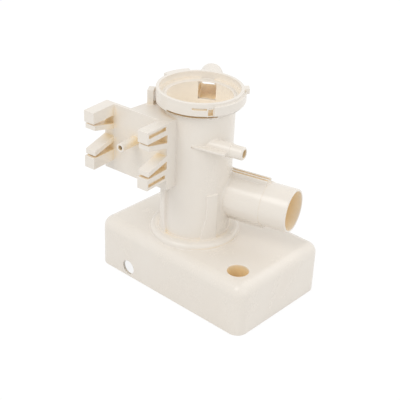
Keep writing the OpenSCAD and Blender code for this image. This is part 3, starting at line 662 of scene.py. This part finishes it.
def rounded(bm, edges, width, segments):
    """The mesh with those edges rounded; the few whose rounding would fold over stay sharp."""
    skin = BVHTree.FromBMesh(bm)
    bm.edges.index_update()
    bm.edges.ensure_lookup_table()
    slivers = folded_points(bm, skin, width)
    known = search_tree(slivers)
    keep = {edge.index for edge in edges}
    for attempt in range(ROUNDING_TRIES):
        trial = bm.copy()
        trial.edges.ensure_lookup_table()
        bmesh.ops.bevel(trial, geom=[trial.edges[index] for index in sorted(keep)], offset=width,
                        offset_type='OFFSET', segments=segments, profile=0.5, affect='EDGES',
                        clamp_overlap=False, material=-1)
        trial.normal_update()
        points = [point for point in folded_points(trial, skin, width)
                  if not slivers or known.find(point)[2] > OLD_FOLD]
        if not points or attempt == ROUNDING_TRIES - 1:
            break
        near = search_tree(points)
        for index in list(keep):
            ends = [vert.co for vert in bm.edges[index].verts]
            spots = (*ends, (ends[0] + ends[1]) / 2)
            if min(near.find(spot)[2] for spot in spots) < (DROP_REACH + attempt) * width:
                keep.discard(index)
        trial.free()
    bm.free()
    return trial


def has_room(edge, skin, width):
    """True if both faces at the edge are wide enough for a rounding of that width."""
    ends = [vert.co for vert in edge.verts]
    middle = (ends[0] + ends[1]) / 2
    along = (ends[1] - ends[0]).normalized()
    for face in edge.link_faces:
        inward = face.normal.cross(along)
        loop = [loop for loop in face.loops if loop.edge == edge][0]
        if (loop.link_loop_next.vert.co - loop.vert.co).dot(along) < 0:
            inward.negate()
        _, normal, _, distance = skin.find_nearest(middle + inward * width * ROOM_PROBE)
        if distance > ROOM_DISTANCE * width or normal.dot(face.normal) < ROOM_LEVEL:
            return False
    return True


def recess_heads(bm):
    """Sinks a six-lobed recess into the lower end of each screw head."""
    screw = bpy.context.scene.pump_screws
    bm.normal_update()
    low = min(vert.co.z for vert in bm.verts)
    heads = [face for face in bm.faces if len(face.verts) >= HEAD_CORNERS and face.normal.z < HEAD_FACING
             and face.calc_center_median().z < low + HEAD_LEVEL]
    if not heads:
        raise RuntimeError("no screw head was found")
    for head in heads:
        middle = head.calc_center_median()
        radius = max((vert.co - middle).length for vert in head.verts)
        bmesh.ops.inset_region(bm, faces=[head], thickness=radius * (1 - screw.share),
                               use_even_offset=True)
        for vert in head.verts:
            arm = vert.co - middle
            wave = math.cos(RECESS_LOBES * math.atan2(arm.y, arm.x))
            vert.co = middle + arm * (1 + screw.lobes * wave)
        bmesh.ops.inset_region(bm, faces=[head], thickness=RECESS_DRAFT, depth=-screw.depth)


def soft_piece(name, node, body, slot, width, others=(), finish=None):
    """A copy of a CAD node with rounded edges, left sharp where it meets the other nodes."""
    bm = cad_copy(node)
    joints = [surface_of(other) for other in others]
    for share in ROUNDING_PASSES if width else ():
        reach = width * share * moulding().rounding * MM
        bm.normal_update()
        skin = BVHTree.FromBMesh(bm)
        edges = []
        for edge in sharp_edges(bm):
            points = [vert.co for vert in edge.verts]
            at_joint = any(all(lies_on(joint, point) for point in points) for joint in joints)
            if has_room(edge, skin, reach) and not at_joint:
                edges.append(edge)
        if edges:
            bm = rounded(bm, edges, reach, moulding().segments)
    if finish:
        finish(bm)
    add_piece(name, bm, body, slot, (node,))


def fillet_points(edge, free, touched, radius):
    """The points of a fillet's section at each end of an edge, or None where no corner is to fill."""
    sections = {}
    for vert in edge.verts:
        found = touched.find_nearest(vert.co)
        if found[0] is None:
            return None
        out_other = found[1]
        normals = [face.normal for face in vert.link_faces if face in free]
        out_own = sum(normals, Vector()).normalized()
        along_own = out_other - out_own * out_other.dot(out_own)
        along_other = out_own - out_other * out_own.dot(out_other)
        if along_own.length < LEAST_CORNER or along_other.length < LEAST_CORNER:
            return None
        along_own.normalize()
        along_other.normalize()
        if not lies_on(touched, vert.co + along_other * radius * FILLET_PROBE, FILLET_REACH):
            return None
        first = vert.co + along_own * radius - out_own * SUNK_OWN
        last = vert.co + along_other * radius - out_other * SUNK_OTHER
        points = []
        for step in range(FILLET_STEPS + 1):
            share = step / FILLET_STEPS
            points.append(first * (1 - share) ** 2 + vert.co * 2 * share * (1 - share)
                          + last * share ** 2)
        points.append(vert.co - (out_own + out_other).normalized() * SUNK_ROOT)
        sections[vert] = points
    return sections


def joint_fillet(node, other, radius):
    """A closed strip along the edges where one CAD node meets another, as a bmesh."""
    bm = cad_copy(node)
    bm.normal_update()
    touched = surface_of(other)
    contact = {face for face in bm.faces if lies_on(touched, face.calc_center_median())}
    free = set(bm.faces) - contact
    sections, joint = {}, set()
    for edge in sharp_edges(bm, JOINT_ANGLE):
        sides = [face in contact for face in edge.link_faces]
        if sum(sides) != 1 or not all(lies_on(touched, vert.co) for vert in edge.verts):
            continue
        found = fillet_points(edge, free, touched, radius)
        if found:
            sections.update(found)
            joint.add(edge)
    if not joint:
        raise RuntimeError("no joint edge was found on " + node)
    bmesh.ops.delete(bm, geom=list(bm.faces), context='FACES_ONLY')
    bmesh.ops.delete(bm, geom=[edge for edge in bm.edges if edge not in joint], context='EDGES')
    bmesh.ops.delete(bm, geom=[vert for vert in bm.verts if not vert.link_edges], context='VERTS')
    path = {vert: sections[vert] for vert in bm.verts}
    for vert, points in path.items():
        vert.co = points[0]
    loop, edges = path, list(bm.edges)
    for step in (*range(1, FILLET_STEPS + 2), 0):
        made = bmesh.ops.extrude_edge_only(bm, edges=edges)["geom"]
        fresh = {item for item in made if isinstance(item, bmesh.types.BMVert)}
        edges = [item for item in made if isinstance(item, bmesh.types.BMEdge)
                 and all(vert in fresh for vert in item.verts)]
        ahead = {}
        for vert, points in loop.items():
            for link in vert.link_edges:
                if link.other_vert(vert) in fresh:
                    ahead[link.other_vert(vert)] = points
        for vert, points in ahead.items():
            vert.co = points[step]
        loop = ahead
    bmesh.ops.remove_doubles(bm, verts=bm.verts, dist=FILLET_MERGE)
    ends = [edge for edge in bm.edges if edge.is_boundary]
    bmesh.ops.holes_fill(bm, edges=ends, sides=END_SIDES)
    bmesh.ops.recalc_face_normals(bm, faces=bm.faces)
    return bm


def joined(parts):
    """Several bmeshes as one."""
    whole = bmesh.new()
    for part in parts:
        mesh = bpy.data.meshes.new("part")
        part.to_mesh(mesh)
        part.free()
        whole.from_mesh(mesh)
        bpy.data.meshes.remove(mesh)
    return whole


def ring_bead(radius, height, half):
    """A round ring about the pump's axis."""
    bm = bmesh.new()
    section = bmesh.ops.create_circle(bm, segments=BEAD_SIDES, radius=half)["verts"]
    upright = Matrix.Rotation(math.radians(90), 3, 'X')
    bmesh.ops.rotate(bm, verts=section, cent=(0, 0, 0), matrix=upright)
    bmesh.ops.translate(bm, verts=section, vec=(radius, 0, height))
    bmesh.ops.spin(bm, geom=list(bm.verts) + list(bm.edges), cent=(0, 0, 0), axis=(0, 0, 1),
                   dvec=(0, 0, 0), angle=math.radians(360), steps=RING_STEPS, use_merge=True,
                   use_duplicate=False)
    bmesh.ops.remove_doubles(bm, verts=bm.verts, dist=SEAM_MERGE)
    bmesh.ops.recalc_face_normals(bm, faces=bm.faces)
    return bm


class PUMP_OT_moulding(Operator):
    """Rounds the edges of the cream mouldings"""

    bl_idname = "pump.moulding"
    bl_label = "Cream moulding"

    def execute(self, context):
        for node, width in MOULDED.items():
            others = [other for other in MOULDED if other != node]
            soft_piece(node + "_moulding", node, "housing", "cream_plastic", width, others)
        return {'FINISHED'}


class PUMP_OT_joint_fillets(Operator):
    """Fills the corners where the mouldings meet, and the weld groove round the tube's foot"""

    bl_idname = "pump.joint_fillets"
    bl_label = "Joint fillets"

    def execute(self, context):
        size = moulding().fillet
        parts = [joint_fillet(node, "pump_chamber", size * share) for node, share in FILLETS.items()]
        add_piece("joint_fillets", joined(parts), "housing", "cream_plastic", sharp=FILLET_SHARP)
        add_piece("foot_weld_bead", ring_bead(**FOOT_BEAD), "housing", "cream_plastic")
        return {'FINISHED'}


class PUMP_OT_inner_parts(Operator):
    """Rounds the edges of the parts inside and recesses the screw heads"""

    bl_idname = "pump.inner_parts"
    bl_label = "Inner parts"

    def execute(self, context):
        slots = {entry["node"]: entry["material_slot"] for entry in frame["record"]["subparts"]}
        for body, nodes in INNER.items():
            for node, width in nodes.items():
                finish = recess_heads if node.endswith("screws") else None
                soft_piece(node + "_part", node, body, slots[node], width, finish=finish)
        return {'FINISHED'}


class PUMP_OT_stage(Operator):
    """Adds the floor, the soft light and the camera"""

    bl_idname = "pump.stage"
    bl_label = "Studio"

    def execute(self, context):
        setup = context.scene.pump_studio
        context.scene.view_settings.view_transform = 'Standard'
        self.floor()
        self.world(setup.ambient)
        for name, place, size, power in LAMPS:
            self.lamp(name, place, size, getattr(setup, power))
        self.camera(setup)
        return {'FINISHED'}

    def seen_directly(self, tree):
        """One for rays that show the ground or the sky, nought for rays that carry light."""
        path = tree.nodes.new('ShaderNodeLightPath')
        seen = arithmetic(tree, 'MAXIMUM', path.outputs['Is Camera Ray'], path.outputs['Is Glossy Ray'])
        return arithmetic(tree, 'MAXIMUM', seen, path.outputs['Is Transmission Ray'])

    def floor(self):
        """White paper under the part, plain to the eye and softer as a source of light."""
        bm = bmesh.new()
        bmesh.ops.create_grid(bm, x_segments=1, y_segments=1, size=FLOOR_SIZE)
        mesh = bpy.data.meshes.new("studio_floor")
        bm.to_mesh(mesh)
        bm.free()
        item = bpy.data.objects.new("studio_floor", mesh)
        item.location.z = -FLOOR_DROP
        bpy.context.scene.collection.objects.link(item)
        material = bpy.data.materials.new("studio_floor_paper")
        material.use_nodes = True
        tree = material.node_tree
        tree.nodes.remove(tree.nodes['Principled BSDF'])
        out = tree.nodes['Material Output']
        glow = tree.nodes.new('ShaderNodeEmission')
        glow.inputs['Strength'].default_value = FLOOR_GLOW
        paper = tree.nodes.new('ShaderNodeBsdfDiffuse')
        paper.inputs['Color'].default_value = FLOOR_GREY
        shown = tree.nodes.new('ShaderNodeAddShader')
        tree.links.new(glow.outputs[0], shown.inputs[0])
        tree.links.new(paper.outputs[0], shown.inputs[1])
        bounce = tree.nodes.new('ShaderNodeBsdfDiffuse')
        bounce.inputs['Color'].default_value = FLOOR_BOUNCE
        pick = tree.nodes.new('ShaderNodeMixShader')
        tree.links.new(self.seen_directly(tree), pick.inputs[0])
        tree.links.new(bounce.outputs[0], pick.inputs[1])
        tree.links.new(shown.outputs[0], pick.inputs[2])
        tree.links.new(pick.outputs[0], out.inputs['Surface'])
        mesh.materials.append(material)

    def world(self, ambient):
        """Even white light from all sides."""
        world = bpy.data.worlds.new("studio_white")
        bpy.context.scene.world = world
        world.use_nodes = True
        tree = world.node_tree
        back = tree.nodes['Background']
        back.inputs['Color'].default_value = (1, 1, 1, 1)
        strength = spread(tree, self.seen_directly(tree), 0.0, 1.0, ambient, 1.0)
        tree.links.new(strength, back.inputs['Strength'])

    def lamp(self, name, place, size, power):
        """A soft square lamp that looks at the part."""
        light = bpy.data.lights.new(name, 'AREA')
        light.size = size
        light.energy = power
        item = bpy.data.objects.new(name, light)
        item.location = place
        aim = Vector(LAMP_AIM) - Vector(place)
        item.rotation_euler = aim.to_track_quat('-Z', 'Y').to_euler()
        bpy.context.scene.collection.objects.link(item)

    def camera(self, setup):
        """The camera, placed where the photo was taken from."""
        lens = bpy.data.cameras.new("photo_camera")
        lens.sensor_width = SENSOR
        lens.lens = setup.lens
        lens.clip_start = SEEN_FROM
        lens.clip_end = SEEN_TO
        back = Vector((math.sin(setup.azimuth) * math.cos(setup.elevation),
                       -math.cos(setup.azimuth) * math.cos(setup.elevation), math.sin(setup.elevation)))
        level = Vector((math.cos(setup.azimuth), math.sin(setup.azimuth), 0))
        above = back.cross(level)
        right = level * math.cos(setup.roll) + above * math.sin(setup.roll)
        up = above * math.cos(setup.roll) - level * math.sin(setup.roll)
        item = bpy.data.objects.new("photo_camera", lens)
        item.matrix_world = Matrix.LocRotScale(
            Vector(setup.place), Matrix((right, up, back)).transposed(), None)
        bpy.context.scene.collection.objects.link(item)
        bpy.context.scene.camera = item


class PUMP_PT_sidebar(Panel):
    """Lists the steps and the sizes"""

    bl_idname = "PUMP_PT_sidebar"
    bl_label = "Drain pump"
    bl_space_type = 'VIEW_3D'
    bl_region_type = 'UI'
    bl_category = "Drain pump"

    def draw(self, context):
        for step in STEPS:
            self.layout.operator(step.bl_idname)
        scene = context.scene
        for settings in (scene.pump_moulding, scene.pump_screws, scene.pump_studio):
            box = self.layout.box()
            for key in settings.__annotations__:
                box.prop(settings, key)


STEPS = (PUMP_OT_moulding, PUMP_OT_joint_fillets, PUMP_OT_inner_parts, PUMP_OT_stage)
CLASSES = (MouldingSettings, ScrewSettings, StudioSettings) + STEPS + (PUMP_PT_sidebar,)


def register():
    for item in CLASSES:
        bpy.utils.register_class(item)
    bpy.types.Scene.pump_moulding = PointerProperty(type=MouldingSettings)
    bpy.types.Scene.pump_screws = PointerProperty(type=ScrewSettings)
    bpy.types.Scene.pump_studio = PointerProperty(type=StudioSettings)


def unregister():
    del bpy.types.Scene.pump_studio
    del bpy.types.Scene.pump_screws
    del bpy.types.Scene.pump_moulding
    for item in reversed(CLASSES):
        bpy.utils.unregister_class(item)


def main():
    register()
    bpy.ops.pump.moulding()
    bpy.ops.pump.joint_fillets()
    bpy.ops.pump.inner_parts()
    bpy.ops.pump.stage()


if __name__ == "__main__":
    main()
